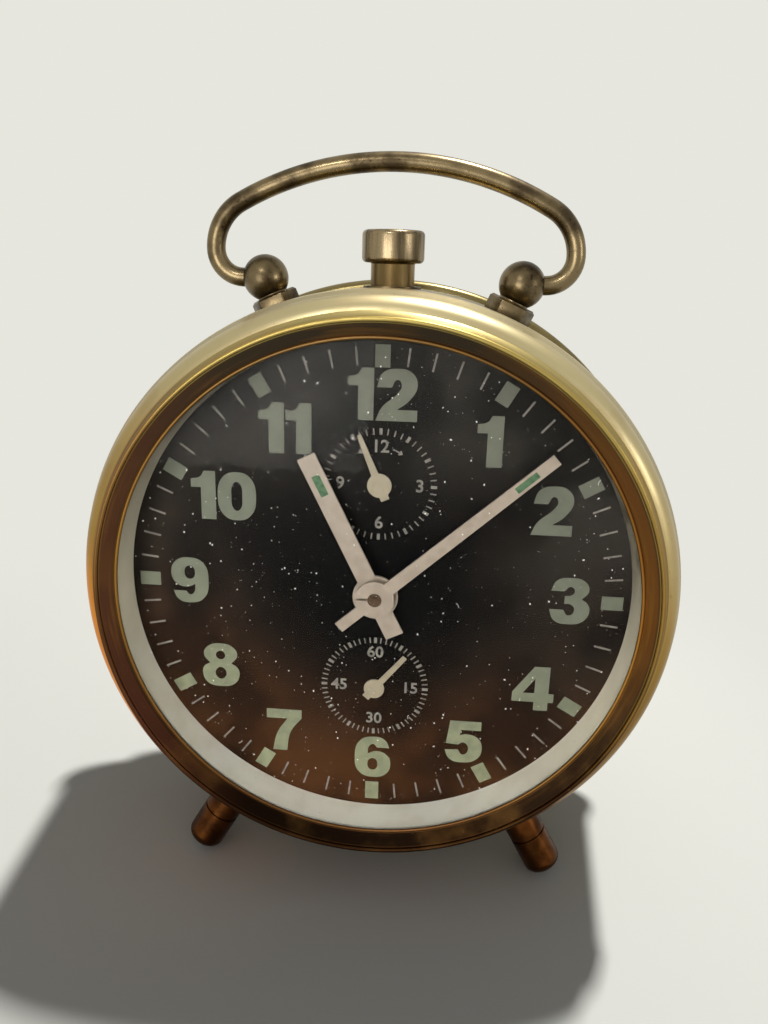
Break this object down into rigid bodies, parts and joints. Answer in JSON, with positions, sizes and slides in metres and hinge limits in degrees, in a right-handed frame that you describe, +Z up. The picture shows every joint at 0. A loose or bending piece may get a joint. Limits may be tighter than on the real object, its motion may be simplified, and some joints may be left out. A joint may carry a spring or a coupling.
{
  "type": "wind-up alarm clock",
  "caption": "Round brass wind-up alarm clock with a folding handle, top stop button, small alarm and seconds dials, and a spring-driven movement inside.",
  "frame": {"origin": "on the table under the middle of the clock: the bottom centre of its bounding box", "axes": "+X to the right of the dial, +Y away from the viewer into the case, +Z up; the dial looks towards -Y and leans back a little, as the clock stands on its two feet and the bottom of its rear rim"},
  "size_m": [0.1138, 0.0698, 0.1348],
  "materials": {
    "bezel_brass": "bright drawn brass, light satin",
    "case_brass": "drawn brass, aged satin",
    "handle_brass": "antique brass, polished",
    "foot_bronze": "dark bronze brass, satin",
    "cover_steel": "gilt lacquer on pressed steel",
    "crystal": "clear, faint dust",
    "ring_cream": "cream enamel",
    "dial_black": "gloss black with printed figures",
    "hand_white": "off-white enamel",
    "lume_green": "luminous filling",
    "bright_steel": "bright turned steel",
    "spring_steel": "blued spring steel",
    "plate_brass": "plain brass sheet",
    "wheel_brass": "cut brass",
    "key_brass": "cast brass, satin"
  },
  "bodies": {
    "case": {"case_drum": "case_brass", "bezel": "bezel_brass", "glass": "crystal", "light_ring": "ring_cream", "dial": "dial_black", "back_cover": "cover_steel", "cover_screws": "bright_steel", "handle_post_left": "handle_brass", "handle_post_right": "handle_brass", "case_nuts": "bright_steel", "foot_left": "foot_bronze", "foot_right": "foot_bronze", "button_bush": "handle_brass", "stop_rod_guide": "bright_steel", "front_plate": "plate_brass", "back_plate": "plate_brass", "pillars": "bright_steel", "pillar_nuts": "bright_steel", "movement_spacers": "bright_steel", "movement_screws": "bright_steel", "alarm_release_spring": "spring_steel", "balance_bearings": "bright_steel", "hairspring": "spring_steel", "time_mainspring": "spring_steel", "alarm_mainspring": "spring_steel"},
    "handle": {"handle": "handle_brass"},
    "stop_button": {"stop_button": "handle_brass", "button_clip": "spring_steel", "stop_rod": "bright_steel"},
    "minute_arbor": {"centre_arbor": "bright_steel", "centre_wheel": "wheel_brass", "cannon_pinion": "bright_steel", "minute_hand": "hand_white", "minute_hand_lume": "lume_green", "time_set_knob": "key_brass"},
    "hour_wheel": {"hour_wheel": "wheel_brass", "hour_hand": "hand_white", "hour_hand_lume": "lume_green"},
    "minute_wheel": {"minute_wheel": "wheel_brass"},
    "alarm_wheel": {"alarm_wheel": "wheel_brass"},
    "alarm_setting": {"alarm_arbor": "bright_steel", "alarm_hand": "hand_white", "alarm_set_knob": "key_brass"},
    "third_wheel": {"third_wheel": "wheel_brass"},
    "fourth_wheel": {"fourth_wheel": "wheel_brass", "seconds_hand": "hand_white"},
    "escape_wheel": {"escape_wheel": "wheel_brass"},
    "pallet_lever": {"pallet_lever": "bright_steel"},
    "balance": {"balance_wheel": "wheel_brass"},
    "regulator": {"regulator": "bright_steel"},
    "great_wheel": {"great_wheel": "wheel_brass"},
    "time_click": {"time_click": "bright_steel"},
    "time_winding": {"time_winding_arbor": "bright_steel", "time_key": "key_brass"},
    "alarm_great_wheel": {"alarm_great_wheel": "wheel_brass"},
    "alarm_click": {"alarm_click": "bright_steel"},
    "alarm_winding": {"alarm_winding_arbor": "bright_steel", "alarm_key": "key_brass"},
    "alarm_escape": {"alarm_escape_wheel": "wheel_brass"},
    "hammer": {"alarm_hammer": "bright_steel"}
  },
  "joints": [
    {"name": "handle_fold", "type": "hinge", "parent": "case", "child": "handle", "pos_m": [0, 0.01989, 0.11237], "axis": [1, 0, 0], "range_deg": [-105, 84]},
    {"name": "stop_button_press", "type": "slide", "parent": "case", "child": "stop_button", "axis": [0, -0.2552, -0.9669], "range_m": [0, 0.0039]},
    {"name": "minute_hand_turn", "type": "hinge", "parent": "case", "child": "minute_arbor", "pos_m": [0, 0.00158, 0.05866], "axis": [0, 0.9669, -0.2552], "continuous": true},
    {"name": "hour_hand_turn", "type": "hinge", "parent": "case", "child": "hour_wheel", "pos_m": [0, -0.01002, 0.06173], "axis": [0, 0.9669, -0.2552], "continuous": true},
    {"name": "minute_wheel_turn", "type": "hinge", "parent": "case", "child": "minute_wheel", "pos_m": [-0.0078, -0.00553, 0.0713], "axis": [0, 0.9669, -0.2552], "continuous": true},
    {"name": "alarm_wheel_turn", "type": "hinge", "parent": "case", "child": "alarm_wheel", "pos_m": [0, -0.0038, 0.0816], "axis": [0, 0.9669, -0.2552], "continuous": true},
    {"name": "third_wheel_turn", "type": "hinge", "parent": "case", "child": "third_wheel", "pos_m": [0.01127, -0.00139, 0.04741], "axis": [0, 0.9669, -0.2552], "continuous": true},
    {"name": "seconds_hand_turn", "type": "hinge", "parent": "case", "child": "fourth_wheel", "pos_m": [0, -0.00363, 0.03894], "axis": [0, 0.9669, -0.2552], "continuous": true},
    {"name": "escape_wheel_turn", "type": "hinge", "parent": "case", "child": "escape_wheel", "pos_m": [-0.01109, -0.00495, 0.03394], "axis": [0, 0.9669, -0.2552], "continuous": true},
    {"name": "great_wheel_turn", "type": "hinge", "parent": "case", "child": "great_wheel", "pos_m": [0.01947, -0.00318, 0.06806], "axis": [0, 0.9669, -0.2552], "continuous": true},
    {"name": "time_winding_turn", "type": "hinge", "parent": "great_wheel", "child": "time_winding", "pos_m": [0.01947, 0.00359, 0.06627], "axis": [0, 0.9669, -0.2552], "range_deg": [0, 1800]},
    {"name": "time_click_lift", "type": "hinge", "parent": "great_wheel", "child": "time_click", "pos_m": [0.01805, 0.00023, 0.07551], "axis": [0, -0.9669, 0.2552], "range_deg": [0, 20], "stiffness_Nm_per_rad": 0.0005},
    {"name": "alarm_great_wheel_turn", "type": "hinge", "parent": "case", "child": "alarm_great_wheel", "pos_m": [-0.022, -0.00417, 0.06432], "axis": [0, 0.9669, -0.2552], "continuous": true},
    {"name": "alarm_escape_turn", "type": "hinge", "parent": "case", "child": "alarm_escape", "pos_m": [-0.02346, 0.00615, 0.07599], "axis": [0, 0.9669, -0.2552], "continuous": true},
    {"name": "alarm_winding_turn", "type": "hinge", "parent": "alarm_great_wheel", "child": "alarm_winding", "pos_m": [-0.022, 0.0026, 0.06253], "axis": [0, 0.9669, -0.2552], "range_deg": [0, 1440]},
    {"name": "alarm_click_lift", "type": "hinge", "parent": "alarm_great_wheel", "child": "alarm_click", "pos_m": [-0.02342, -0.00075, 0.07177], "axis": [0, -0.9669, 0.2552], "range_deg": [0, 20], "stiffness_Nm_per_rad": 0.0005},
    {"name": "hammer_swing", "type": "hinge", "parent": "case", "child": "hammer", "pos_m": [-0.01703, 0.00753, 0.08121], "axis": [0, -0.9669, 0.2552], "range_deg": [-5, 5]},
    {"name": "alarm_setting_turn", "type": "hinge", "parent": "case", "child": "alarm_setting", "pos_m": [0, 0.00689, 0.07877], "axis": [0, 0.9669, -0.2552], "continuous": true},
    {"name": "regulator_turn", "type": "hinge", "parent": "case", "child": "regulator", "pos_m": [-0.0275, 0.00685, 0.04279], "axis": [0, 0.9669, -0.2552], "range_deg": [-20, 20]},
    {"name": "balance_swing", "type": "hinge", "parent": "case", "child": "balance", "pos_m": [-0.0275, -0.00199, 0.04513], "axis": [0, 0.9669, -0.2552], "range_deg": [-135, 135], "stiffness_Nm_per_rad": 0.0000084},
    {"name": "pallet_lever_swing", "type": "hinge", "parent": "case", "child": "pallet_lever", "pos_m": [-0.0173, -0.00383, 0.03817], "axis": [0, 0.9669, -0.2552], "range_deg": [-5, 5]}
  ],
  "couplings": [
    {"joint": "hour_hand_turn", "follows": "minute_hand_turn", "ratio": 0.083333},
    {"joint": "minute_wheel_turn", "follows": "minute_hand_turn", "ratio": -0.33333},
    {"joint": "alarm_wheel_turn", "follows": "minute_hand_turn", "ratio": 0.083333},
    {"joint": "third_wheel_turn", "follows": "minute_hand_turn", "ratio": -8},
    {"joint": "seconds_hand_turn", "follows": "minute_hand_turn", "ratio": 60},
    {"joint": "escape_wheel_turn", "follows": "minute_hand_turn", "ratio": -480},
    {"joint": "great_wheel_turn", "follows": "minute_hand_turn", "ratio": -0.16667},
    {"joint": "alarm_escape_turn", "follows": "alarm_great_wheel_turn", "ratio": -6}
  ]
}
